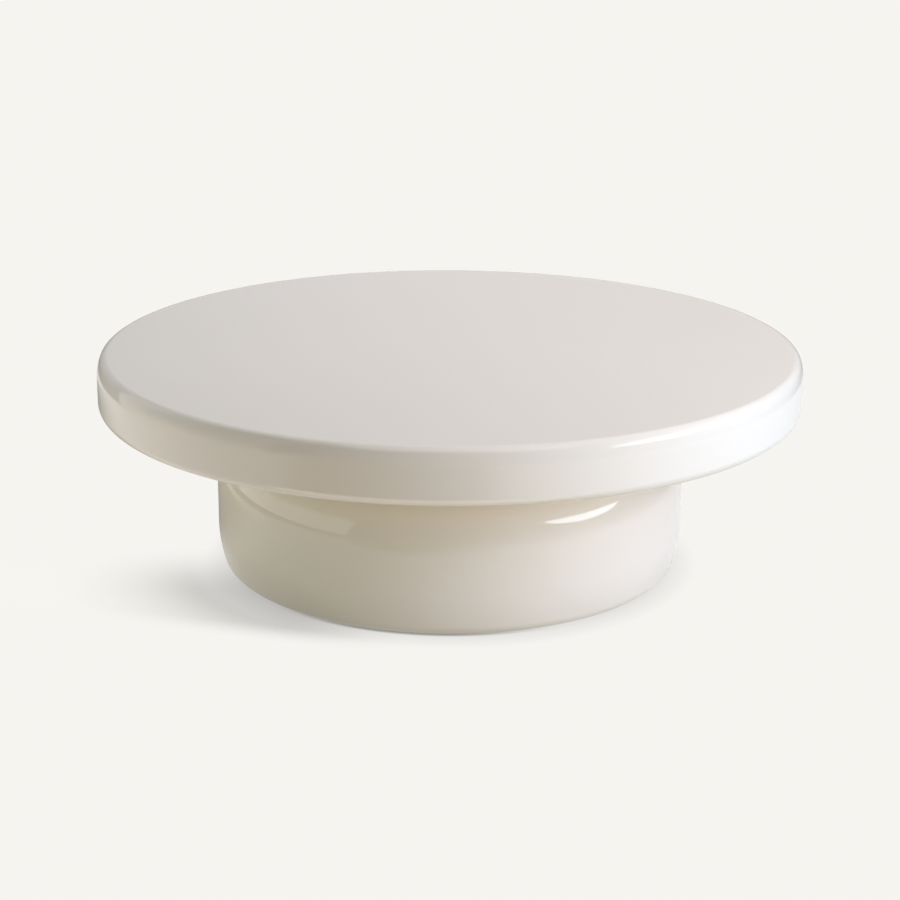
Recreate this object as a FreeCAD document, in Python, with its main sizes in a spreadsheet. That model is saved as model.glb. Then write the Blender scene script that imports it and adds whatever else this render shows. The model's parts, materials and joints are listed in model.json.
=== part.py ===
import FreeCAD, Part
import math
import os
import re

import Sketcher

# Round cocktail table in lacquered board: a hollow disc top, bolted through a recessed neck to a hollow drum
# that stands on four screw-in levelling glides.
# Millimetres and degrees. +Z is up, and the origin is the middle of the footprint, on the floor.

# Driving dimensions

SIZES = {
    # Hollow top
    "top_diameter": 1220,
    "panel_thickness": 30,
    "panel_side_radius": 42,
    "panel_top_radius": 16,
    "panel_sweep": 30,
    "rim_height": 46,
    "rim_width": 70,
    "rim_count": 8,
    "edge_land": 1,
    "underside_thickness": 18,
    "underside_edge_radius": 17,
    "spoke_thickness": 18,
    "hub_overlap": 30,
    # Recessed neck, two equal layers
    "neck_layer_thickness": 18.5,
    "neck_setback": 29,
    # Drum shell
    "base_gap": 2.5,
    "drum_diameter": 818,
    "drum_height": 254.5,
    "wall_thickness": 24,
    "shoulder_radius": 110,
    "shoulder_flange_thickness": 24,
    "shoulder_ledge_width": 24,
    "foot_large_radius": 226,
    "foot_small_radius": 24.5,
    "foot_sweep": 16,
    "foot_lip_width": 27,
    "foot_flange_width": 25,
    "foot_flange_thickness": 25,
    # Boards and ribs inside the drum, with one bolt and one screw between each pair of ribs
    "bay_count": 6,
    "top_plate_thickness": 25,
    "bottom_plate_thickness": 25,
    "bottom_plate_recess": 2.5,
    "rib_thickness": 18,
    "rib_reach": 40,
    "rib_hole_diameter": 80,
    # Bolts that hold the top on the drum
    "bolt_diameter": 10,
    "bolt_inset": 30,
    "bolt_head_width": 17,
    "bolt_head_height": 6.4,
    "bolt_engagement": 17.5,
    "bolt_tip_room": 3,
    "washer_diameter": 30,
    "washer_thickness": 2.5,
    "insert_diameter": 16,
    "insert_length": 20,
    # Dowels that centre the top, the neck and the drum
    "dowel_count": 2,
    "dowel_diameter": 12,
    "dowel_depth": 12,
    "dowel_offset": 40,
    "dowel_end_room": 0.5,
    # Wood screws of the drum's two boards
    "bottom_screw_count": 8,
    "screw_diameter": 5,
    "screw_head_diameter": 10,
    "screw_head_height": 3,
    "screw_bite": 18,
    # Levelling glides
    "glide_count": 4,
    "glide_inset": 46,
    "glide_recess_depth": 8,
    "glide_recess_room": 3,
    "pad_diameter": 40,
    "pad_floor_chamfer": 2,
    "pad_crown_chamfer": 4,
    "pad_collar_room": 2,
    "stud_diameter": 8,
    "stud_collar_diameter": 14,
    "stud_collar_height": 5,
    "stud_projection": 15,
    "glide_insert_diameter": 12,
    "glide_insert_length": 15,
    "glide_insert_flange_diameter": 22,
    "glide_insert_flange_thickness": 2,
    # Clearances, each on one side
    "seat_clearance": 0.3,
    "end_clearance": 0.4,
    "hole_clearance": 0.5,
    "fit_clearance": 0.05,
}

# Radii and levels that follow from the driving dimensions

WORKED_OUT = {
    # Levels, from the floor up
    "bottom_plate_under": "base_gap + bottom_plate_recess",
    "bottom_plate_top": "bottom_plate_under + bottom_plate_thickness",
    "foot_flange_top": "bottom_plate_top + foot_flange_thickness",
    "foot_break_level": "base_gap + foot_small_radius * (1 - sin(foot_sweep))",
    "foot_top": "foot_break_level + foot_large_radius * sin(foot_sweep)",
    "drum_top": "base_gap + drum_height",
    "shoulder_level": "drum_top - shoulder_radius",
    "top_plate_under": "drum_top - top_plate_thickness",
    "shoulder_flange_under": "top_plate_under - shoulder_flange_thickness",
    "neck_joint": "drum_top + neck_layer_thickness",
    "top_under": "neck_joint + neck_layer_thickness",
    "rim_under": "top_under + underside_thickness",
    "rim_top": "rim_under + rim_height",
    "table_top": "rim_top + panel_thickness",
    # Radii of the top and levels of its edge
    "top_radius": "top_diameter / 2",
    "rim_inner": "top_radius - rim_width",
    "panel_top_drop": "panel_top_radius * (1 - sin(panel_sweep))",
    "panel_side_room": "(panel_thickness - edge_land - panel_top_drop) / sin(panel_sweep)",
    "panel_side_round": "min(panel_side_radius; panel_side_room)",
    "panel_break_level": "table_top - panel_top_drop",
    "panel_edge_level": "panel_break_level - panel_side_round * sin(panel_sweep)",
    "panel_break_radius": "top_radius - panel_side_round * (1 - cos(panel_sweep))",
    "panel_flat_radius": "panel_break_radius - panel_top_radius * cos(panel_sweep)",
    "underside_round": "min(underside_edge_radius; underside_thickness - edge_land)",
    # Radii of the drum and neck
    "drum_radius": "drum_diameter / 2",
    "wall_inner": "drum_radius - wall_thickness",
    "opening_radius": "drum_radius - shoulder_radius",
    "shoulder_hollow_radius": "shoulder_radius - wall_thickness",
    "shoulder_hollow_rise": "shoulder_flange_under - shoulder_level",
    "shoulder_hollow_end": "opening_radius + sqrt(shoulder_hollow_radius ^ 2 - shoulder_hollow_rise ^ 2)",
    "ledge_inner": "opening_radius - shoulder_ledge_width",
    "top_plate_radius": "opening_radius - seat_clearance",
    "foot_break_radius": "drum_radius - foot_large_radius * (1 - cos(foot_sweep))",
    "foot_under_radius": "foot_break_radius - foot_small_radius * cos(foot_sweep)",
    "plate_seat_radius": "foot_under_radius - foot_lip_width",
    "bottom_plate_radius": "plate_seat_radius - seat_clearance",
    "foot_flange_inner": "plate_seat_radius - foot_flange_width",
    "neck_radius": "opening_radius - neck_setback",
    "hub_radius": "neck_radius + hub_overlap",
    # Pitch circles
    "bolt_circle": "neck_radius - bolt_inset",
    "rib_inner": "bolt_circle - rib_reach",
    "top_screw_circle": "opening_radius - shoulder_ledge_width / 2",
    "bottom_screw_circle": "plate_seat_radius - foot_flange_width / 2",
    "glide_circle": "plate_seat_radius - glide_inset",
    # Bolts, inserts and dowels
    "bolt_radius": "bolt_diameter / 2",
    "bolt_hole_radius": "bolt_radius + hole_clearance",
    "bolt_seat": "top_plate_under - washer_thickness",
    "bolt_head_under": "bolt_seat - bolt_head_height",
    "bolt_tip": "rim_under + bolt_engagement",
    "insert_radius": "insert_diameter / 2",
    "insert_top": "rim_under + insert_length",
    "insert_hole_top": "insert_top + bolt_tip_room",
    "dowel_circle": "bolt_circle - dowel_offset",
    "dowel_radius": "dowel_diameter / 2",
    "dowel_hole_radius": "dowel_radius + fit_clearance",
    "dowel_hole_under": "drum_top - dowel_depth",
    "dowel_hole_top": "top_under + dowel_depth",
    # Wood screws
    "screw_radius": "screw_diameter / 2",
    "screw_hole_radius": "screw_radius + hole_clearance / 2",
    "screw_pilot_radius": "screw_radius + fit_clearance",
    "screw_head_radius": "screw_head_diameter / 2",
    "top_screw_tip": "top_plate_under + screw_bite",
    "bottom_screw_seat": "bottom_plate_under + screw_head_height",
    "bottom_screw_tip": "bottom_plate_top + screw_bite",
    # Glides
    "glide_recess_top": "bottom_plate_under + glide_recess_depth",
    "glide_recess_radius": "pad_radius + glide_recess_room",
    "glide_insert_radius": "glide_insert_diameter / 2",
    "glide_insert_flange_under": "glide_recess_top - glide_insert_flange_thickness",
    "glide_insert_top": "glide_recess_top + glide_insert_length",
    "pad_radius": "pad_diameter / 2",
    "pad_height": "glide_insert_flange_under",
    "stud_radius": "stud_diameter / 2",
    "stud_collar_radius": "stud_collar_diameter / 2",
    "stud_collar_top": "pad_height - pad_collar_room",
    "pad_socket_floor": "stud_collar_top - stud_collar_height",
    "stud_top": "bottom_plate_top + stud_projection",
}

FULL_TURN = 360
HALF_STEP = 0.5
RIB_START = "180 / bay_count"
GLIDE_START = "180 / glide_count"
BOTTOM_SCREW_START = "180 / bottom_screw_count"
VOLUME_TOLERANCE = 1e-4
UP = FreeCAD.Vector(0, 0, 1)
MIDDLE = FreeCAD.Vector(0, 0, 0)

doc = FreeCAD.newDocument("round_cocktail_table")
sheet = doc.addObject("Spreadsheet::Sheet", "Sizes")
pieces = []


def fill_sheet():
    """Write every size into a cell that carries its name."""
    cells = {name: str(value) for name, value in SIZES.items()}
    cells.update({name: "=" + formula for name, formula in WORKED_OUT.items()})
    for row, (name, text) in enumerate(cells.items(), start=1):
        sheet.set(f"A{row}", name)
        sheet.set(f"B{row}", text)
        sheet.setAlias(f"B{row}", name)
    doc.recompute()


def bound(expression):
    """The expression with each named size written as a cell of the sheet."""

    def cell(word):
        name = word.group()
        return f"Sizes.{name}" if name in SIZES or name in WORKED_OUT else name

    return re.sub(r"[a-z_]+", cell, expression)


def number(expression):
    """What an expression of named sizes comes to."""
    return float(sheet.evalExpression(expression))


def new_piece(name, turn="0", radius="0"):
    """An empty piece, turned about the table's axis and set out from it by a radius."""
    body = doc.addObject("PartDesign::Body", name)
    body.Label = name
    rotation = FreeCAD.Rotation(UP, number(turn))
    offset = rotation.multVec(FreeCAD.Vector(number(radius), 0, 0))
    body.Placement = FreeCAD.Placement(offset, rotation)
    pieces.append(body)
    return body


def origin_feature(body, role):
    """One of the piece's own origin planes or axes."""
    return next(item for item in body.Origin.OriginFeatures if item.Role == role)


def add_sketch(body, plane, level="0", turn="0"):
    """A sketch on one of the piece's origin planes, raised to a level and turned in its plane."""
    sketch = body.newObject("Sketcher::SketchObject", f"{body.Name}_sketch")
    sketch.AttachmentSupport = (origin_feature(body, plane), [""])
    sketch.MapMode = "FlatFace"
    sketch.AttachmentOffset = FreeCAD.Placement(MIDDLE, FreeCAD.Rotation(UP, number(turn)))
    if level != "0":
        sketch.setExpression("AttachmentOffset.Base.z", bound(level))
    return sketch


def tie(sketch, constraint, expression):
    """Add a constraint whose value follows an expression of named sizes."""
    index = sketch.addConstraint(constraint)
    name = f"size_{index}"
    sketch.renameConstraint(index, name)
    sketch.setExpression(f"Constraints.{name}", bound(expression))


def pin_point(sketch, edge, end, across, up):
    """Hold a point of the sketch at a place measured from the origin."""
    for kind, axis, expression in (("DistanceX", -2, across), ("DistanceY", -1, up)):
        if expression == "0":
            sketch.addConstraint(Sketcher.Constraint("PointOnObject", edge, end, axis))
        else:
            constraint = Sketcher.Constraint(kind, -1, 1, edge, end, number(expression))
            tie(sketch, constraint, expression)


def arc_between(start, finish, radius, centre_on_left):
    """An arc from start to finish; also says whether it is drawn from start to finish."""
    chord = finish - start
    reach = math.sqrt(radius ** 2 - (chord.Length / 2) ** 2)
    left = FreeCAD.Vector(-chord.y, chord.x, 0).normalize()
    centre = (start + finish) / 2 + left * (reach if centre_on_left else -reach)
    first, last = (start, finish) if centre_on_left else (finish, start)
    angles = [math.atan2(point.y - centre.y, point.x - centre.x) for point in (first, last)]
    return Part.ArcOfCircle(Part.Circle(centre, UP, radius), *angles), centre_on_left


def outline(sketch, corners, rounded=None, hollow=None):
    """A closed outline through corners, counter-clockwise, with arcs at the edges in rounded and hollow."""
    rounded = rounded or {}
    hollow = hollow or {}
    places = [FreeCAD.Vector(number(across), number(up), 0) for across, up in corners]
    edges = []
    for step, start in enumerate(places):
        finish = places[(step + 1) % len(places)]
        radius = rounded.get(step) or hollow.get(step)
        if radius is None:
            edges.append((sketch.addGeometry(Part.LineSegment(start, finish)), 1, 2))
            continue
        arc, forward = arc_between(start, finish, number(radius), step in rounded)
        edge = sketch.addGeometry(arc)
        edges.append((edge, 1, 2) if forward else (edge, 2, 1))
    for step, (edge, begin, end) in enumerate(edges):
        next_edge, next_begin, _ = edges[(step + 1) % len(edges)]
        sketch.addConstraint(Sketcher.Constraint("Coincident", edge, end, next_edge, next_begin))
        pin_point(sketch, edge, begin, *corners[step])
        radius = rounded.get(step) or hollow.get(step)
        if radius is not None:
            tie(sketch, Sketcher.Constraint("Radius", edge, number(radius)), radius)


def box_corners(left, right, under, top):
    """Corners of an upright rectangle, counter-clockwise."""
    return [(left, under), (right, under), (right, top), (left, top)]


def revolve(body, corners, rounded=None, hollow=None, angle=None, axis="0"):
    """Turn an upright outline about the table's axis, or about an upright line set out from it."""
    sketch = add_sketch(body, "XZ_Plane")
    outline(sketch, corners, rounded, hollow)
    axis_name = "V_Axis"
    if axis != "0":
        ends = [FreeCAD.Vector(number(axis), height, 0) for height in (0, number("table_top"))]
        line = sketch.addGeometry(Part.LineSegment(*ends), True)
        pin_point(sketch, line, 1, axis, "0")
        pin_point(sketch, line, 2, axis, "table_top")
        axis_name = "Axis0"
    feature = body.newObject("PartDesign::Revolution", f"{body.Name}_turned")
    feature.Profile = sketch
    feature.ReferenceAxis = (sketch, [axis_name])
    feature.Angle = FULL_TURN
    if angle is not None:
        feature.Midplane = True
        feature.setExpression("Angle", bound(angle))
    doc.recompute()
    return feature


def slab(body, corners, thickness, hole=None):
    """A board standing upright in the XZ plane, evenly about it, with one round hole where hole is given."""
    sketch = add_sketch(body, "XZ_Plane")
    outline(sketch, corners)
    if hole is not None:
        across, up, radius = hole
        middle = FreeCAD.Vector(number(across), number(up), 0)
        circle = sketch.addGeometry(Part.Circle(middle, UP, number(radius)))
        pin_point(sketch, circle, 3, across, up)
        tie(sketch, Sketcher.Constraint("Radius", circle, number(radius)), radius)
    pad = body.newObject("PartDesign::Pad", f"{body.Name}_board")
    pad.Profile = sketch
    pad.SideType = "Symmetric"
    pad.setExpression("Length", bound(thickness))
    doc.recompute()


def repeat_around(body, features, count):
    """Copy features of a piece evenly round the table's axis."""
    pattern = body.newObject("PartDesign::PolarPattern", f"{body.Name}_pattern")
    pattern.Originals = features
    pattern.Axis = (origin_feature(body, "Z_Axis"), [""])
    pattern.Angle = FULL_TURN
    pattern.setExpression("Occurrences", bound(count))
    body.Tip = pattern
    doc.recompute()


def drill(body, circle, count, start, under, top, radius):
    """Round holes on a pitch circle, from one level up to another, each fully in the board."""
    sketch = add_sketch(body, "XY_Plane", under, start)
    middle = FreeCAD.Vector(number(circle), 0, 0)
    hole = sketch.addGeometry(Part.Circle(middle, UP, number(radius)))
    pin_point(sketch, hole, 3, circle, "0")
    tie(sketch, Sketcher.Constraint("Radius", hole, number(radius)), radius)
    volume_before = body.Shape.Volume
    pocket = body.newObject("PartDesign::Pocket", f"{body.Name}_hole")
    pocket.Profile = sketch
    pocket.Reversed = True
    pocket.setExpression("Length", bound(f"{top} - {under}"))
    doc.recompute()
    repeat_around(body, [pocket], count)
    one_hole = math.pi * number(radius) ** 2 * (number(top) - number(under))
    removed = volume_before - body.Shape.Volume
    if abs(removed - one_hole * number(count)) > VOLUME_TOLERANCE * volume_before:
        raise RuntimeError(f"{body.Label}: a hole missed the board")


def place_on_circle(feature, radius, level):
    """Set a primitive out from the table's axis and raise it to a level."""
    feature.AttachmentSupport = (origin_feature(feature.getParentGeoFeatureGroup(), "XY_Plane"), [""])
    feature.MapMode = "FlatFace"
    feature.setExpression("AttachmentOffset.Base.x", bound(radius))
    feature.setExpression("AttachmentOffset.Base.z", bound(level))


# Hollow top


def make_tabletop_panel():
    """Upper board, with an edge of two arcs: gentle on the side, and tighter where it meets the flat."""
    corners = [
        ("0", "rim_top"),
        ("top_radius", "rim_top"),
        ("top_radius", "panel_edge_level"),
        ("panel_break_radius", "panel_break_level"),
        ("panel_flat_radius", "table_top"),
        ("0", "table_top"),
    ]
    revolve(new_piece("tabletop_panel"), corners, rounded={2: "panel_side_round", 3: "panel_top_radius"})


def make_underside_panel():
    """Lower board, with the small rounding, the bolt holes and the dowel sockets."""
    corners = [
        ("0", "top_under"),
        ("top_radius - underside_round", "top_under"),
        ("top_radius", "top_under + underside_round"),
        ("top_radius", "rim_under"),
        ("0", "rim_under"),
    ]
    body = new_piece("underside_panel")
    revolve(body, corners, rounded={1: "underside_round"})
    drill(body, "bolt_circle", "bay_count", "0", "top_under", "rim_under", "bolt_hole_radius")
    drill(body, "dowel_circle", "dowel_count", "0", "top_under", "dowel_hole_top", "dowel_hole_radius")


def make_rim_segments():
    """Arcs glued end to end as the side of the hollow top."""
    corners = box_corners("rim_inner", "top_radius", "rim_under", "rim_top")
    for index in range(SIZES["rim_count"]):
        body = new_piece(f"rim_segment_{index + 1}", f"{index + HALF_STEP} * {FULL_TURN} / rim_count")
        revolve(body, corners, angle=f"{FULL_TURN} / rim_count")


def make_spoke_ribs():
    """Ribs between the hub and the rim, one behind each joint of the rim."""
    corners = box_corners("hub_radius + end_clearance", "rim_inner - end_clearance", "rim_under", "rim_top")
    for index in range(SIZES["rim_count"]):
        body = new_piece(f"spoke_rib_{index + 1}", f"{index} * {FULL_TURN} / rim_count")
        slab(body, corners, "spoke_thickness")


def make_hub_disc():
    """Solid core of the top, with blind holes for the threaded inserts."""
    body = new_piece("hub_disc")
    revolve(body, box_corners("0", "hub_radius", "rim_under", "rim_top"))
    insert_hole = "insert_radius + fit_clearance"
    drill(body, "bolt_circle", "bay_count", "0", "rim_under", "insert_hole_top", insert_hole)


# Recessed neck


def make_neck_discs():
    """Two layers of the spacer between the drum and the top."""
    layers = {"neck_disc_lower": ("drum_top", "neck_joint"), "neck_disc_upper": ("neck_joint", "top_under")}
    for name, (under, top) in layers.items():
        body = new_piece(name)
        revolve(body, box_corners("0", "neck_radius", under, top))
        drill(body, "bolt_circle", "bay_count", "0", under, top, "bolt_hole_radius")
        drill(body, "dowel_circle", "dowel_count", "0", under, top, "dowel_hole_radius")


# Drum


def make_shoulder_ring():
    """Turned ring that rounds the drum inward, with a rebated flange for the drum's top board."""
    corners = [
        ("wall_inner", "shoulder_level"),
        ("drum_radius", "shoulder_level"),
        ("opening_radius", "drum_top"),
        ("opening_radius", "top_plate_under"),
        ("ledge_inner", "top_plate_under"),
        ("ledge_inner", "shoulder_flange_under"),
        ("shoulder_hollow_end", "shoulder_flange_under"),
    ]
    body = new_piece("shoulder_ring")
    revolve(body, corners, rounded={1: "shoulder_radius"}, hollow={6: "shoulder_hollow_radius"})
    flange = ("shoulder_flange_under", "top_plate_under")
    drill(body, "top_screw_circle", "bay_count", "0", *flange, "screw_hole_radius")


def make_drum_wall():
    """Upright band between the foot and the shoulder."""
    body = new_piece("drum_wall")
    revolve(body, box_corners("wall_inner", "drum_radius", "foot_top", "shoulder_level"))


def make_foot_ring():
    """Turned ring with the two-arc rounding at the floor and a flange above the bottom board."""
    corners = [
        ("plate_seat_radius", "base_gap"),
        ("foot_under_radius", "base_gap"),
        ("foot_break_radius", "foot_break_level"),
        ("drum_radius", "foot_top"),
        ("wall_inner", "foot_top"),
        ("wall_inner", "foot_flange_top"),
        ("foot_flange_inner", "foot_flange_top"),
        ("foot_flange_inner", "bottom_plate_top"),
        ("plate_seat_radius", "bottom_plate_top"),
    ]
    body = new_piece("foot_ring")
    revolve(body, corners, rounded={1: "foot_small_radius", 2: "foot_large_radius"})
    screws = ("bottom_screw_circle", "bottom_screw_count", BOTTOM_SCREW_START)
    drill(body, *screws, "bottom_plate_top", "bottom_screw_tip", "screw_pilot_radius")


def make_drum_top_plate():
    """Board that closes the drum, seated in the shoulder's rebate under the neck."""
    body = new_piece("drum_top_plate")
    revolve(body, box_corners("0", "top_plate_radius", "top_plate_under", "drum_top"))
    drill(body, "bolt_circle", "bay_count", "0", "top_plate_under", "drum_top", "bolt_hole_radius")
    drill(body, "dowel_circle", "dowel_count", "0", "dowel_hole_under", "drum_top", "dowel_hole_radius")
    bite = ("top_plate_under", "top_screw_tip")
    drill(body, "top_screw_circle", "bay_count", "0", *bite, "screw_pilot_radius")


def make_bottom_plate():
    """Removable board under the drum, with sunk screw heads and a recess round each glide."""
    body = new_piece("bottom_plate")
    revolve(body, box_corners("0", "bottom_plate_radius", "bottom_plate_under", "bottom_plate_top"))
    screws = ("bottom_screw_circle", "bottom_screw_count", BOTTOM_SCREW_START)
    drill(body, *screws, "bottom_plate_under", "bottom_screw_seat", "screw_head_radius + hole_clearance")
    drill(body, *screws, "bottom_screw_seat", "bottom_plate_top", "screw_hole_radius")
    glides = ("glide_circle", "glide_count", GLIDE_START)
    drill(body, *glides, "bottom_plate_under", "glide_recess_top", "glide_recess_radius")
    drill(body, *glides, "glide_recess_top", "bottom_plate_top", "glide_insert_radius + fit_clearance")


def make_drum_ribs():
    """Upright ribs that carry the neck's load down to the bottom board, notched round both flanges."""
    corners = [
        ("rib_inner", "bottom_plate_top"),
        ("foot_flange_inner - end_clearance", "bottom_plate_top"),
        ("foot_flange_inner - end_clearance", "foot_flange_top"),
        ("wall_inner - end_clearance", "foot_flange_top"),
        ("wall_inner - end_clearance", "shoulder_level"),
        ("shoulder_hollow_end - end_clearance", "shoulder_flange_under"),
        ("ledge_inner - end_clearance", "shoulder_flange_under"),
        ("ledge_inner - end_clearance", "top_plate_under"),
        ("rib_inner", "top_plate_under"),
    ]
    hole = (
        "(rib_inner + wall_inner) / 2",
        "(foot_flange_top + shoulder_flange_under) / 2",
        "rib_hole_diameter / 2",
    )
    for index in range(SIZES["bay_count"]):
        body = new_piece(f"drum_rib_{index + 1}", f"{RIB_START} + {index} * {FULL_TURN} / bay_count")
        slab(body, corners, "rib_thickness", hole)


# Fixings between the drum and the top


def make_connector_bolts():
    """Hexagon bolts, heads inside the drum, up through the neck into the hub."""
    body = new_piece("connector_bolts")
    head = body.newObject("PartDesign::AdditivePrism", "bolt_head")
    head.Polygon = 6
    head.setExpression("Circumradius", bound("bolt_head_width / sqrt(3)"))
    head.setExpression("Height", bound("bolt_head_height"))
    place_on_circle(head, "bolt_circle", "bolt_head_under")
    doc.recompute()
    shank = body.newObject("PartDesign::AdditiveCylinder", "bolt_shank")
    shank.setExpression("Radius", bound("bolt_radius"))
    shank.setExpression("Height", bound("bolt_tip - bolt_seat"))
    place_on_circle(shank, "bolt_circle", "bolt_seat")
    doc.recompute()
    repeat_around(body, [head, shank], "bay_count")


def make_bolt_washers():
    """Washers between the bolt heads and the drum's top board."""
    bore = "bolt_circle + bolt_hole_radius"
    corners = box_corners(bore, "bolt_circle + washer_diameter / 2", "bolt_seat", "top_plate_under")
    body = new_piece("bolt_washers")
    repeat_around(body, [revolve(body, corners, axis="bolt_circle")], "bay_count")


def make_threaded_inserts():
    """Inserts in the hub that take the bolts."""
    bore = "bolt_circle + bolt_radius + fit_clearance"
    corners = box_corners(bore, "bolt_circle + insert_radius", "rim_under", "insert_top")
    body = new_piece("threaded_inserts")
    repeat_around(body, [revolve(body, corners, axis="bolt_circle")], "bay_count")


def make_locating_dowels():
    """Dowels through the neck, from the drum's top board into the underside of the top."""
    ends = ("dowel_hole_under + dowel_end_room", "dowel_hole_top - dowel_end_room")
    corners = box_corners("dowel_circle", "dowel_circle + dowel_radius", *ends)
    body = new_piece("locating_dowels")
    repeat_around(body, [revolve(body, corners, axis="dowel_circle")], "dowel_count")


def make_screws(name, circle, count, levels, turn="0"):
    """Pan-head wood screws on a pitch circle, heads down: levels of the head, its seat and the tip."""
    head_under, seat, tip = levels
    shank = f"{circle} + screw_radius"
    head = f"{circle} + screw_head_radius"
    head_corners = [(circle, head_under), (head, head_under), (head, seat)]
    shank_corners = [(shank, seat), (shank, tip), (circle, tip)]
    body = new_piece(name, turn)
    repeat_around(body, [revolve(body, head_corners + shank_corners, axis=circle)], count)


# Levelling glides


def make_glide_inserts():
    """Flanged inserts pressed up into the bottom board, for the glide studs."""
    bore = "glide_circle + stud_radius + fit_clearance"
    flange = "glide_circle + glide_insert_flange_diameter / 2"
    barrel = "glide_circle + glide_insert_radius"
    corners = [
        (bore, "glide_insert_flange_under"),
        (flange, "glide_insert_flange_under"),
        (flange, "glide_recess_top"),
        (barrel, "glide_recess_top"),
        (barrel, "glide_insert_top"),
        (bore, "glide_insert_top"),
    ]
    body = new_piece("glide_inserts", GLIDE_START)
    repeat_around(body, [revolve(body, corners, axis="glide_circle")], "glide_count")


def make_glides():
    """Round pads on the floor, each with a stud whose collar turns in the pad's socket."""
    socket = "stud_collar_radius + fit_clearance"
    pad_corners = [
        ("0", "0"),
        ("pad_radius - pad_floor_chamfer", "0"),
        ("pad_radius", "pad_floor_chamfer"),
        ("pad_radius", "pad_height - pad_crown_chamfer"),
        ("pad_radius - pad_crown_chamfer", "pad_height"),
        (socket, "pad_height"),
        (socket, "pad_socket_floor"),
        ("0", "pad_socket_floor"),
    ]
    stud_corners = [
        ("0", "pad_socket_floor"),
        ("stud_collar_radius", "pad_socket_floor"),
        ("stud_collar_radius", "stud_collar_top"),
        ("stud_radius", "stud_collar_top"),
        ("stud_radius", "stud_top"),
        ("0", "stud_top"),
    ]
    for index in range(SIZES["glide_count"]):
        turn = f"{GLIDE_START} + {index} * {FULL_TURN} / glide_count"
        pad = new_piece(f"glide_pad_{index + 1}", turn, "glide_circle")
        revolve(pad, pad_corners)
        stud = new_piece(f"glide_stud_{index + 1}", turn, "glide_circle")
        revolve(stud, stud_corners)


def make_table():
    """Every piece of the table, from the top down."""
    make_tabletop_panel()
    make_underside_panel()
    make_rim_segments()
    make_spoke_ribs()
    make_hub_disc()
    make_neck_discs()
    make_shoulder_ring()
    make_drum_wall()
    make_foot_ring()
    make_drum_top_plate()
    make_bottom_plate()
    make_drum_ribs()
    make_connector_bolts()
    make_bolt_washers()
    make_threaded_inserts()
    make_locating_dowels()
    top_levels = ("shoulder_flange_under - screw_head_height", "shoulder_flange_under", "top_screw_tip")
    make_screws("top_plate_screws", "top_screw_circle", "bay_count", top_levels)
    bottom_levels = ("bottom_plate_under", "bottom_screw_seat", "bottom_screw_tip")
    bottom_place = ("bottom_plate_screws", "bottom_screw_circle", "bottom_screw_count")
    make_screws(*bottom_place, bottom_levels, BOTTOM_SCREW_START)
    make_glide_inserts()
    make_glides()


def check_pieces():
    """Stop if anything in the document failed, or a piece has no sound solid."""
    for item in doc.Objects:
        if "Invalid" in item.State or "Error" in item.State:
            raise RuntimeError(f"{item.Label} failed: {item.State}")
    for body in pieces:
        if body.Shape.isNull() or not body.Shape.isValid() or not body.Shape.Solids:
            raise RuntimeError(f"{body.Label} has no sound solid")


def write_pieces():
    """One file for each piece, named after it."""
    os.makedirs("parts", exist_ok=True)
    for body in pieces:
        body.Shape.exportStep(os.path.join("parts", f"{body.Label}.step"))
        print(f"{body.Label}: {len(body.Shape.Solids)} solids, {body.Shape.Volume / 1000:.1f} cm3")


fill_sheet()
make_table()
doc.recompute()
check_pieces()
write_pieces()
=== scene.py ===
import json
import math

import bpy
from mathutils import Matrix, Vector


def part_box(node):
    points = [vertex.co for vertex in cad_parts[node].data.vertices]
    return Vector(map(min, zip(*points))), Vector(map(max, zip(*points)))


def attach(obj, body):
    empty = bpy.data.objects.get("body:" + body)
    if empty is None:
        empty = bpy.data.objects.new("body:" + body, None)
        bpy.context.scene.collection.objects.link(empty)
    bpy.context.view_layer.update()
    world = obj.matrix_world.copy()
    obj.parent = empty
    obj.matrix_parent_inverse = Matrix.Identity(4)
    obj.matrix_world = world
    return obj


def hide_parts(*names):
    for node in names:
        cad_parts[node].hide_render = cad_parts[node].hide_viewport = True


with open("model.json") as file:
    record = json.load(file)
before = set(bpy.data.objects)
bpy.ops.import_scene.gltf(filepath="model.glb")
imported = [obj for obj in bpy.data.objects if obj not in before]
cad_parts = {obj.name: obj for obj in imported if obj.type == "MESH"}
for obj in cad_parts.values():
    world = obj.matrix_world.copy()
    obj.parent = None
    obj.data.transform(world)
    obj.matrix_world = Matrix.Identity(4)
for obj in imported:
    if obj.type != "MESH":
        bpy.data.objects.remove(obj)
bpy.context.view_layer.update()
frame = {"nodes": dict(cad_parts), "record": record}

# Sizes in metres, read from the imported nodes

TOP_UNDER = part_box("underside_panel")[0].z
TABLE_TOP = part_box("tabletop_panel")[1].z
TOP_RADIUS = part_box("tabletop_panel")[1].x
DRUM_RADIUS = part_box("drum_wall")[1].x
FOOT_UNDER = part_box("foot_ring")[0].z
FOOT_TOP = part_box("drum_wall")[0].z
SHOULDER_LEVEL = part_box("drum_wall")[1].z
DRUM_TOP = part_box("shoulder_ring")[1].z
NECK_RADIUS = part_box("neck_disc_upper")[1].x
PLATE_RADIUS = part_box("bottom_plate")[1].x
PLATE_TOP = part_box("bottom_plate")[1].z

# Roundings and walls in metres, and sweeps in degrees, as the pieces were turned

PANEL_SIDE_RADIUS = 0.042
PANEL_TOP_RADIUS = 0.016
PANEL_SWEEP = 30
UNDERSIDE_EDGE_RADIUS = 0.017
SHOULDER_RADIUS = DRUM_TOP - SHOULDER_LEVEL
FOOT_LARGE_RADIUS = 0.226
FOOT_SMALL_RADIUS = 0.0245
FOOT_SWEEP = 16
WALL_THICKNESS = 0.024
SEAT_CLEARANCE = 0.0003

# Mesh fineness, with the crease angle in degrees

STEPS_AROUND = 256
STEPS_PER_ARC = 24
CREASE_ANGLE = 60

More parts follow.
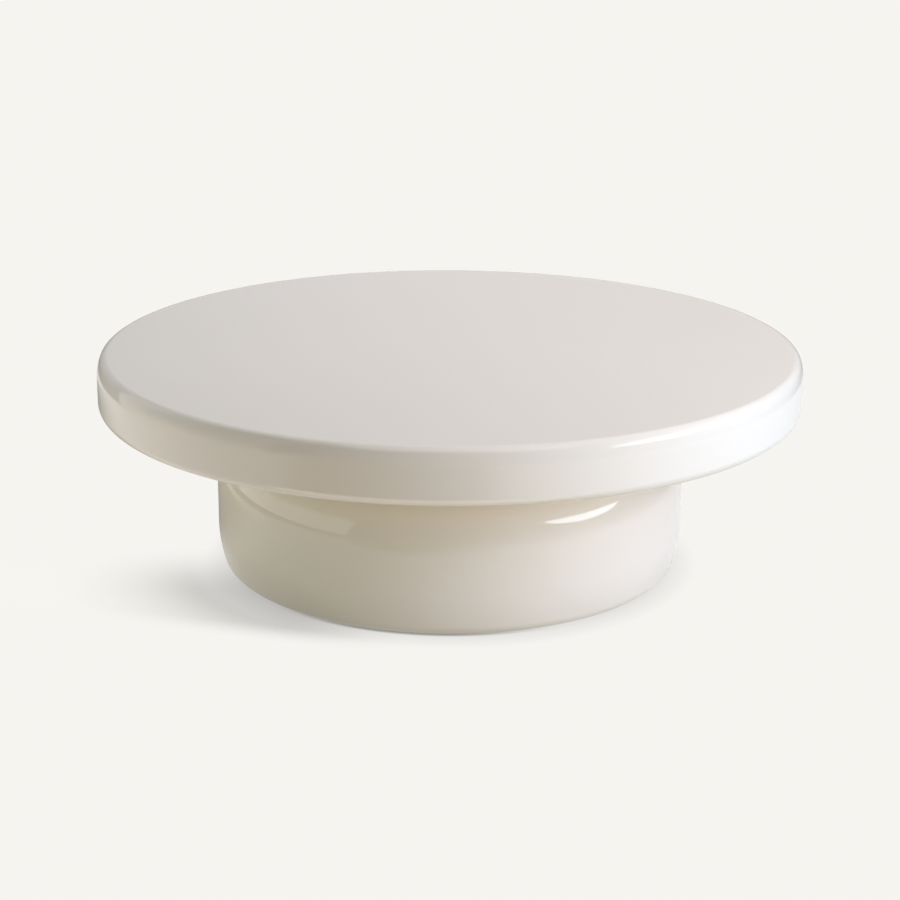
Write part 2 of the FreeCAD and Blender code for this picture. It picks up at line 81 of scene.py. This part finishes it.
# Backdrop and room: linear colours, and how far towards the back the room's light starts and is full

PALE = (0.9216, 0.9047, 0.8714)
ROOM_COLOUR = (0.28, 0.25, 0.25)
ROOM_START = 0
ROOM_FULL = 0.6

# Floor: its half width in metres, the colour of the light it throws back, and its own lamp in degrees

FLOOR_HALF = 30
DIM_FLOOR = (0.425, 0.425, 0.39)
FLOOR_LAMP_AZIMUTH = 72
FLOOR_LAMP_ELEVATION = 52
FLOOR_LAMP_ANGLE = 38
FLOOR_GAIN = 4

# Shade on the floor: the lamp's share, the edges where it fades in, the painted contact shade and the gap's
# painted dark line

SHADOW_SHARE = 0.36
SHADOW_EDGES = (
    {"across": (1, 0, 0), "start": -0.06, "full": -0.28},
    {"across": (0, 1, 0), "start": 0.04, "full": -0.2},
    {"across": (0.286, 1, 0), "start": -0.5, "full": -0.42},
)
CONTACT_REACH = 0.045
CONTACT_SHADE = 0.2
GAP_REACH = 0.0045
GAP_SHADE = 0.9
GAP_FRONT = {"middle": (-0.08, -0.43, 0), "inner": 0.08, "outer": 0.3}
OPENNESS_SAMPLES = 4

# Painted shade on the floor, seen only in reflections: round patches, and all that lies far away

MIRRORED_SHADE_SPOTS = (
    {"middle": (0, 0, 0), "inner": 2.6, "outer": 1.7, "level": 0.2},
    {"middle": (-0.42, -1.67, 0), "inner": 0.6, "outer": 0.95, "level": 0.02},
    {"middle": (-0.6, 0.65, 0), "inner": 0.45, "outer": 0.85, "level": 0.3},
)

# Lamps: the point that they look at, and the place of the one that lies on the floor

AIM = Vector((0, 0, 0.25))
UNDER_DISC_PLACE = Vector((-0.12, -0.8, 0.01))
UPWARD = Vector((0, 0, 1))

# Camera: distance in metres, angles in degrees, lens and sensor in millimetres

CAMERA_DISTANCE = 3.981
CAMERA_ELEVATION = 20.023
CAMERA_PITCH = 17.313
CAMERA_ROLL = 0.287
CAMERA_LENS = 88.74
SENSOR_WIDTH = 36


# Meshes


def add_object(name, data):
    """A new object in the scene."""
    item = bpy.data.objects.new(name, data)
    bpy.context.scene.collection.objects.link(item)
    return item


def arc(across, up, radius, start, finish):
    """Points of an upright arc, from one angle in degrees to another."""
    points = []
    for step in range(STEPS_PER_ARC + 1):
        turn = math.radians(start + (finish - start) * step / STEPS_PER_ARC)
        points.append((across + radius * math.cos(turn), up + radius * math.sin(turn)))
    return points


def turned(name, outline):
    """A closed mesh turned about the table's axis. An outline that starts off it returns to its start."""
    verts = []
    rings = []
    for radius, height in outline:
        if radius == 0:
            rings.append([len(verts)])
            verts.append((0, 0, height))
            continue
        rings.append(range(len(verts), len(verts) + STEPS_AROUND))
        for step in range(STEPS_AROUND):
            turn = 2 * math.pi * step / STEPS_AROUND
            verts.append((radius * math.cos(turn), radius * math.sin(turn), height))
    pairs = list(zip(rings, rings[1:]))
    if outline[0][0] > 0:
        pairs.append((rings[-1], rings[0]))
    faces = []
    for lower, upper in pairs:
        if len(lower) == len(upper) == 1:
            continue
        for step in range(STEPS_AROUND):
            after = (step + 1) % STEPS_AROUND
            corners = [lower[step % len(lower)], lower[after % len(lower)]]
            corners += [upper[after % len(upper)], upper[step % len(upper)]]
            faces.append(tuple(dict.fromkeys(corners)))
    mesh = bpy.data.meshes.new(name)
    mesh.from_pydata(verts, [], faces)
    mesh.update()
    mesh.shade_smooth()
    mesh.set_sharp_from_angle(angle=math.radians(CREASE_ANGLE))
    return add_object(name, mesh)


# Shader nodes


def new_material(name):
    """A node material with its tree and its shader."""
    material = bpy.data.materials.new(name)
    material.use_nodes = True
    return material, material.node_tree, material.node_tree.nodes["Principled BSDF"]


def noise(tree, scale, detail):
    """Noise over the object's own coordinates, in metres."""
    place = tree.nodes.new("ShaderNodeTexCoord")
    texture = tree.nodes.new("ShaderNodeTexNoise")
    texture.inputs["Scale"].default_value = scale
    texture.inputs["Detail"].default_value = detail
    tree.links.new(place.outputs["Object"], texture.inputs["Vector"])
    return texture.outputs["Fac"]


def spread(tree, factor, low, high):
    """A number that runs from low to high with a factor."""
    node = tree.nodes.new("ShaderNodeMapRange")
    node.inputs["To Min"].default_value = low
    node.inputs["To Max"].default_value = high
    tree.links.new(factor, node.inputs["Value"])
    return node.outputs["Result"]


def fade(tree, value, start, full):
    """0 at one value, rising smoothly to 1 at another, which may be the lower one."""
    node = tree.nodes.new("ShaderNodeMapRange")
    node.interpolation_type = "SMOOTHSTEP"
    node.inputs["From Min"].default_value = start
    node.inputs["From Max"].default_value = full
    tree.links.new(value, node.inputs["Value"])
    return node.outputs["Result"]


def blend_colours(tree, factor, first, second):
    """A colour between two, by a factor."""
    node = tree.nodes.new("ShaderNodeMix")
    node.data_type = "RGBA"
    node.inputs["A"].default_value = (*first, 1)
    node.inputs["B"].default_value = (*second, 1)
    tree.links.new(factor, node.inputs["Factor"])
    return node.outputs["Result"]


def combine(tree, operation, first, second):
    """One number from two, by an operation."""
    node = tree.nodes.new("ShaderNodeMath")
    node.operation = operation
    tree.links.new(first, node.inputs[0])
    tree.links.new(second, node.inputs[1])
    return node.outputs["Value"]


def multiply(tree, first, second):
    """The product of two numbers."""
    return combine(tree, "MULTIPLY", first, second)


def scaled(tree, colour, factor):
    """A colour made weaker by a factor."""
    node = tree.nodes.new("ShaderNodeVectorMath")
    node.operation = "SCALE"
    tree.links.new(colour, node.inputs[0])
    tree.links.new(factor, node.inputs["Scale"])
    return node.outputs["Vector"]


# Materials: linear colours, noise scales per metre, and relief depths in metres


def tint(tree, shader, factor, dark, light):
    """A colour that varies between two."""
    tree.links.new(blend_colours(tree, factor, dark, light), shader.inputs["Base Color"])


def roughen(tree, shader, factor, low, high):
    """A roughness that varies between two."""
    tree.links.new(spread(tree, factor, low, high), shader.inputs["Roughness"])


def bump(tree, shader, height, strength, depth):
    """Surface relief from a height factor."""
    node = tree.nodes.new("ShaderNodeBump")
    node.inputs["Strength"].default_value = strength
    node.inputs["Distance"].default_value = depth
    tree.links.new(height, node.inputs["Height"])
    tree.links.new(node.outputs["Normal"], shader.inputs["Normal"])


def lacquer_material():
    """High-gloss cream lacquer: even colour, clear gloss and a faint orange peel."""
    material, tree, shader = new_material("cream_lacquer")
    tone = noise(tree, scale=3, detail=3)
    tint(tree, shader, tone, dark=(0.79, 0.73, 0.615), light=(0.81, 0.75, 0.635))
    roughen(tree, shader, noise(tree, scale=9, detail=4), low=0.02, high=0.04)
    bump(tree, shader, noise(tree, scale=180, detail=2), strength=0.01, depth=0.001)
    shader.inputs["IOR"].default_value = 1.5
    return material


def board_material(name, dark, light):
    """Pressed board or plain wood: fine fibres and faint mottling, quite matt."""
    material, tree, shader = new_material(name)
    tint(tree, shader, noise(tree, scale=220, detail=6), dark, light)
    roughen(tree, shader, noise(tree, scale=60, detail=4), low=0.65, high=0.85)
    bump(tree, shader, noise(tree, scale=500, detail=4), strength=0.15, depth=0.0005)
    return material


def steel_material():
    """Zinc-plated steel with a fine mottled variation."""
    material, tree, shader = new_material("zinc_steel")
    tone = noise(tree, scale=400, detail=4)
    tint(tree, shader, tone, dark=(0.52, 0.53, 0.55), light=(0.66, 0.67, 0.69))
    roughen(tree, shader, noise(tree, scale=700, detail=3), low=0.25, high=0.45)
    shader.inputs["Metallic"].default_value = 1
    return material


def nylon_material():
    """Moulded dark nylon with a fine grain."""
    material, tree, shader = new_material("pad_nylon")
    tone = noise(tree, scale=300, detail=4)
    tint(tree, shader, tone, dark=(0.045, 0.045, 0.045), light=(0.075, 0.075, 0.073))
    roughen(tree, shader, noise(tree, scale=800, detail=3), low=0.45, high=0.6)
    bump(tree, shader, noise(tree, scale=1500, detail=3), strength=0.1, depth=0.0002)
    return material


# Pieces


def settle(piece, body, material, slot, *nodes):
    """Finish a piece: its material, the body it rides on and the CAD nodes it stands for, which it hides. Its
    slot is not used.
    """
    piece.data.materials.append(material)
    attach(piece, body)
    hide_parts(*nodes)


def make_top(material):
    """The lacquered top as one seamless skin over its boards and rim."""
    under_middle = (TOP_RADIUS - UNDERSIDE_EDGE_RADIUS, TOP_UNDER + UNDERSIDE_EDGE_RADIUS)
    under = arc(*under_middle, UNDERSIDE_EDGE_RADIUS, -90, 0)
    sine = math.sin(math.radians(PANEL_SWEEP))
    cosine = math.cos(math.radians(PANEL_SWEEP))
    reach = PANEL_SIDE_RADIUS - PANEL_TOP_RADIUS
    top_middle = (TOP_RADIUS - PANEL_SIDE_RADIUS + reach * cosine, TABLE_TOP - PANEL_TOP_RADIUS)
    side_middle = (TOP_RADIUS - PANEL_SIDE_RADIUS, top_middle[1] - reach * sine)
    over = arc(*side_middle, PANEL_SIDE_RADIUS, 0, PANEL_SWEEP)
    over += arc(*top_middle, PANEL_TOP_RADIUS, PANEL_SWEEP, 90)[1:]
    piece = turned("lacquered_top", [(0, TOP_UNDER), *under, *over, (0, TABLE_TOP)])
    rims = [name for name in frame["nodes"] if name.startswith("rim_segment")]
    settle(piece, "table", material, "cream_lacquer", "tabletop_panel", "underside_panel", *rims)


def make_neck(material):
    """The lacquered neck as one skin over its two layers."""
    outline = [(0, DRUM_TOP), (NECK_RADIUS, DRUM_TOP), (NECK_RADIUS, TOP_UNDER), (0, TOP_UNDER)]
    piece = turned("lacquered_neck", outline)
    settle(piece, "table", material, "cream_lacquer", "neck_disc_upper", "neck_disc_lower")


def make_drum(material):
    """The lacquered drum as one seamless skin over its foot, wall, shoulder and top board."""
    sine = math.sin(math.radians(FOOT_SWEEP))
    cosine = math.cos(math.radians(FOOT_SWEEP))
    reach = FOOT_LARGE_RADIUS - FOOT_SMALL_RADIUS
    large_middle = (DRUM_RADIUS - FOOT_LARGE_RADIUS, FOOT_TOP)
    small_middle = (large_middle[0] + reach * cosine, FOOT_TOP - reach * sine)
    foot = arc(*small_middle, FOOT_SMALL_RADIUS, -90, -FOOT_SWEEP)
    foot += arc(*large_middle, FOOT_LARGE_RADIUS, -FOOT_SWEEP, 0)[1:]
    shoulder_middle = (DRUM_RADIUS - SHOULDER_RADIUS, SHOULDER_LEVEL)
    shoulder = arc(*shoulder_middle, SHOULDER_RADIUS, 0, 90)
    seat_radius = PLATE_RADIUS + SEAT_CLEARANCE
    inside = [(0, DRUM_TOP), (0, DRUM_TOP - WALL_THICKNESS)]
    inside += arc(*shoulder_middle, SHOULDER_RADIUS - WALL_THICKNESS, 90, 0)
    inside += [(DRUM_RADIUS - WALL_THICKNESS, PLATE_TOP), (seat_radius, PLATE_TOP)]
    piece = turned("lacquered_drum", [(seat_radius, FOOT_UNDER), *foot, *shoulder, *inside])
    nodes = ("foot_ring", "drum_wall", "shoulder_ring", "drum_top_plate")
    settle(piece, "table", material, "cream_lacquer", *nodes)


def dress_nodes(materials):
    """Give each CAD node the material of its slot."""
    for subpart in frame["record"]["subparts"]:
        mesh = frame["nodes"][subpart["node"]].data
        mesh.materials.clear()
        mesh.materials.append(materials[subpart["material_slot"]])


# Stage


def pale_rays(tree, *others):
    """1 for the rays that show the backdrop: those of the camera and of the other kinds named."""
    path = tree.nodes.new("ShaderNodeLightPath")
    total = path.outputs["Is Camera Ray"]
    for other in others:
        total = combine(tree, "MAXIMUM", total, path.outputs[other])
    return total


def openness(tree, reach):
    """How open a place is: 1 where nothing stands within reach, in metres."""
    node = tree.nodes.new("ShaderNodeAmbientOcclusion")
    node.inputs["Distance"].default_value = reach
    node.samples = OPENNESS_SAMPLES
    return node.outputs["AO"]


def floor_measure(tree, operation, vector):
    """A number for each place on the floor: how far along a direction it lies, or how far from a point."""
    place = tree.nodes.new("ShaderNodeTexCoord")
    node = tree.nodes.new("ShaderNodeVectorMath")
    node.operation = operation
    node.inputs[1].default_value = vector
    tree.links.new(place.outputs["Object"], node.inputs[0])
    return node.outputs["Value"]


def shadow_side(tree):
    """1 on the floor at the front left of the table, where its shadow falls, and 0 round the rest of it."""
    inside = None
    for edge in SHADOW_EDGES:
        along = floor_measure(tree, "DOT_PRODUCT", edge["across"])
        share = fade(tree, along, edge["start"], edge["full"])
        inside = multiply(tree, inside, share) if inside else share
    return inside


def patch(tree, middle, inner, outer):
    """1 at an inner distance from a point of the floor, fading to 0 at an outer one."""
    return fade(tree, floor_measure(tree, "DISTANCE", middle), outer, inner)


def mirrored_shade_patch(tree, middle, inner, outer, level):
    """1, but another level in reflections of a patch of the floor: painted shade, where the studio is darker.
    """
    mirrored = tree.nodes.new("ShaderNodeLightPath").outputs["Is Glossy Ray"]
    return spread(tree, multiply(tree, patch(tree, middle, inner, outer), mirrored), 1, level)


def make_floor():
    """A plain pale floor that keeps the table's shadow, and throws back less light than it shows."""
    corners = [(-FLOOR_HALF, -FLOOR_HALF, 0), (FLOOR_HALF, -FLOOR_HALF, 0)]
    corners += [(FLOOR_HALF, FLOOR_HALF, 0), (-FLOOR_HALF, FLOOR_HALF, 0)]
    mesh = bpy.data.meshes.new("floor")
    mesh.from_pydata(corners, [], [(0, 1, 2, 3)])
    floor = add_object("floor", mesh)
    material, tree, shader = new_material("floor")
    material.cycles.emission_sampling = "NONE"
    shown = pale_rays(tree, "Is Glossy Ray", "Is Transmission Ray")
    tone = blend_colours(tree, shown, DIM_FLOOR, PALE)
    shadow = shadow_side(tree)
    glow = spread(tree, shadow, 1, 1 - SHADOW_SHARE)
    # Painted shade in the floor's glow: the contact shade beside the table, and the gap's dark line near the
    # front of its foot.
    glow = multiply(tree, glow, spread(tree, openness(tree, CONTACT_REACH), 1 - CONTACT_SHADE, 1))
    closed = multiply(tree, spread(tree, openness(tree, GAP_REACH), 1, 0), patch(tree, **GAP_FRONT))
    glow = multiply(tree, glow, spread(tree, closed, 1, 1 - GAP_SHADE))
    # Painted shade that only reflections show, in round patches of the floor and far from the table.
    for spot in MIRRORED_SHADE_SPOTS:
        glow = multiply(tree, glow, mirrored_shade_patch(tree, **spot))
    tree.links.new(tone, shader.inputs["Emission Color"])
    tree.links.new(glow, shader.inputs["Emission Strength"])
    lit = spread(tree, shadow, 0, SHADOW_SHARE / FLOOR_GAIN)
    tree.links.new(scaled(tree, tone, lit), shader.inputs["Base Color"])
    shader.inputs["Roughness"].default_value = 1
    shader.inputs["Specular IOR Level"].default_value = 0
    mesh.materials.append(material)
    return floor


def make_world():
    """A studio that is dim behind the table and dark in front, but looks plain and pale to the camera."""
    world = bpy.data.worlds.new("studio")
    bpy.context.scene.world = world
    world.use_nodes = True
    tree = world.node_tree
    direction = tree.nodes.new("ShaderNodeTexCoord").outputs["Generated"]
    split = tree.nodes.new("ShaderNodeSeparateXYZ")
    tree.links.new(direction, split.inputs["Vector"])
    behind = fade(tree, split.outputs["Y"], ROOM_START, ROOM_FULL)
    room = blend_colours(tree, behind, (0, 0, 0), ROOM_COLOUR)
    choice = tree.nodes.new("ShaderNodeMix")
    choice.data_type = "RGBA"
    tree.links.new(pale_rays(tree, "Is Transmission Ray"), choice.inputs["Factor"])
    tree.links.new(room, choice.inputs["A"])
    choice.inputs["B"].default_value = (*PALE, 1)
    tree.links.new(choice.outputs["Result"], tree.nodes["Background"].inputs["Color"])


# Lamps


def link_group(name, pieces):
    """A group of pieces that a lamp lights or that block it."""
    group = bpy.data.collections.new(name)
    for piece in pieces:
        group.objects.link(piece)
    return group


def place_round(azimuth, elevation, distance):
    """A place round the table: azimuth 0 is behind it and 90 to its right, in degrees."""
    flat = distance * math.cos(math.radians(elevation))
    up = AIM.z + distance * math.sin(math.radians(elevation))
    return Vector((flat * math.sin(math.radians(azimuth)), flat * math.cos(math.radians(azimuth)), up))


def face_along(holder, towards):
    """Turn a lamp to look along a direction."""
    holder.rotation_mode = "QUATERNION"
    holder.rotation_quaternion = towards.to_track_quat("-Z", "Y")


def make_lamp(name, group, place, towards, width, height, colour, mirrored=False, shape="RECTANGLE"):
    """A soft lamp that either lights a group of pieces or is only mirrored in it.

    Its colour is the brightness of its face, and its sizes are in metres.
    """
    lamp = bpy.data.lights.new(name, "AREA")
    lamp.shape = shape
    lamp.size = width
    lamp.size_y = height
    strongest = max(colour)
    lamp.color = [value / strongest for value in colour]
    lamp.energy = strongest * math.pi * width * height
    holder = add_object(name, lamp)
    holder.location = place
    face_along(holder, towards)
    holder.visible_camera = False
    holder.visible_glossy = mirrored
    holder.visible_diffuse = not mirrored
    holder.light_linking.receiver_collection = group


def make_panel(name, group, azimuth, elevation, distance, **face):
    """A soft lamp round the table that looks at it."""
    place = place_round(azimuth, elevation, distance)
    make_lamp(name, group, place, AIM - place, **face)


def make_floor_lamp(lit, blockers):
    """An even soft light on the floor alone, from the right, that gives the drum its shadow."""
    lamp = bpy.data.lights.new("floor_lamp", "SUN")
    lamp.angle = math.radians(FLOOR_LAMP_ANGLE)
    lamp.energy = FLOOR_GAIN * math.pi / math.sin(math.radians(FLOOR_LAMP_ELEVATION))
    holder = add_object("floor_lamp", lamp)
    face_along(holder, AIM - place_round(FLOOR_LAMP_AZIMUTH, FLOOR_LAMP_ELEVATION, 1))
    holder.light_linking.receiver_collection = lit
    holder.light_linking.blocker_collection = blockers


def mirrored_panels(top, drum):
    """The panels that the lacquer of the top and of the drum mirrors."""
    make_panel("key_panel", drum, azimuth=112, elevation=25, distance=3.2, width=2.5, height=1.6,
               colour=(5.2, 5.6, 6.2), mirrored=True, shape="ELLIPSE")
    make_panel("key_strip", top, azimuth=109, elevation=25, distance=3.2, width=2.5, height=0.8,
               colour=(3.0, 3.05, 3.05), mirrored=True, shape="ELLIPSE")
    make_panel("fill_panel", drum, azimuth=-98, elevation=11.5, distance=2.6, width=3.8, height=1.15,
               colour=(1.15, 1.2, 1.15), mirrored=True)
    make_panel("left_panel", top, azimuth=-98, elevation=16, distance=1.9, width=2.4, height=1.6,
               colour=(0.9, 0.85, 0.8), mirrored=True)
    make_panel("front_top_panel", top, azimuth=175, elevation=60, distance=2.4, width=2.2, height=1.3,
               colour=(1.9, 1.65, 1.8), mirrored=True)
    make_lamp("under_disc", top, UNDER_DISC_PLACE, UPWARD, width=1.2, height=0.36,
              colour=(1.1, 1.0, 1.0), mirrored=True, shape="ELLIPSE")


def lighting_panels(table, top, drum):
    """The panels that light the table, or its top or drum alone."""
    make_panel("key_light", table, azimuth=112, elevation=25, distance=3.2, width=2.5, height=1.4,
               colour=(1.55, 2.7, 3.85))
    make_panel("left_fill", table, azimuth=-100, elevation=8, distance=2.6, width=1.6, height=0.9,
               colour=(2.65, 3.0, 3.0))
    make_panel("top_left_fill", top, azimuth=-114, elevation=-8, distance=1.5, width=1.4, height=0.08,
               colour=(8.4, 7.1, 7.7))
    make_panel("drum_left_fill", drum, azimuth=-75, elevation=6, distance=2.2, width=1.2, height=0.6,
               colour=(2.9, 2.0, 1.2))
    make_panel("drum_right_fill", drum, azimuth=104, elevation=6, distance=2.2, width=1.2, height=0.6,
               colour=(2.8, 2.5, 2.75))
    make_panel("right_bounce", table, azimuth=128, elevation=14, distance=2.2, width=1.4, height=1.1,
               colour=(2.75, 3.2, 4.65))
    make_panel("right_high_fill", table, azimuth=128, elevation=30, distance=2.4, width=1.4, height=0.8,
               colour=(1.6, 1.3, 1.85))
    make_panel("front_bounce", table, azimuth=155, elevation=6, distance=2.2, width=1.4, height=0.6,
               colour=(3.4, 2.75, 1.75))
    make_panel("left_bounce", table, azimuth=-120, elevation=50, distance=1.6, width=0.9, height=0.6,
               colour=(0.35, 0.45, 0.48))
    make_panel("top_right_panel", table, azimuth=90, elevation=62, distance=2.6, width=1.6, height=1.6,
               colour=(2.45, 1.9, 0.9))
    make_panel("top_back_panel", table, azimuth=0, elevation=60, distance=2.8, width=1.6, height=1.6,
               colour=(6.2, 6.8, 8.6))


def light_studio(floor):
    """All the lamps. The floor has its own, so that it stays an even pale."""
    pieces = [piece for piece in bpy.data.objects if piece.type == "MESH" and piece != floor]
    table = link_group("table_lit", pieces)
    top = link_group("top_lit", [bpy.data.objects["lacquered_top"]])
    drum = link_group("drum_lit", [bpy.data.objects["lacquered_drum"]])
    mirrored_panels(top, drum)
    lighting_panels(table, top, drum)
    make_floor_lamp(link_group("floor_lit", [floor]), drum)


# Camera


def make_camera():
    """A long lens at the photograph's viewing angle."""
    data = bpy.data.cameras.new("camera")
    data.sensor_width = SENSOR_WIDTH
    data.lens = CAMERA_LENS
    camera = add_object("camera", data)
    elevation = math.radians(CAMERA_ELEVATION)
    place = Vector((0, -CAMERA_DISTANCE * math.cos(elevation), CAMERA_DISTANCE * math.sin(elevation)))
    pitch = Matrix.Rotation(math.radians(90 - CAMERA_PITCH), 4, "X")
    roll = Matrix.Rotation(math.radians(CAMERA_ROLL), 4, "Z")
    camera.matrix_world = Matrix.Translation(place) @ pitch @ roll
    bpy.context.scene.camera = camera


# Scene

lacquer = lacquer_material()
slot_materials = {
    "cream_lacquer": lacquer,
    "bare_board": board_material("bare_board", dark=(0.40, 0.28, 0.17), light=(0.58, 0.43, 0.28)),
    "sealed_board": board_material("sealed_board", dark=(0.05, 0.045, 0.04), light=(0.085, 0.08, 0.073)),
    "beech": board_material("beech", dark=(0.52, 0.36, 0.21), light=(0.66, 0.48, 0.30)),
    "zinc_steel": steel_material(),
    "pad_nylon": nylon_material(),
}
dress_nodes(slot_materials)
make_top(lacquer)
make_neck(lacquer)
make_drum(lacquer)
make_world()
light_studio(make_floor())
make_camera()
bpy.context.scene.view_settings.view_transform = "Standard"
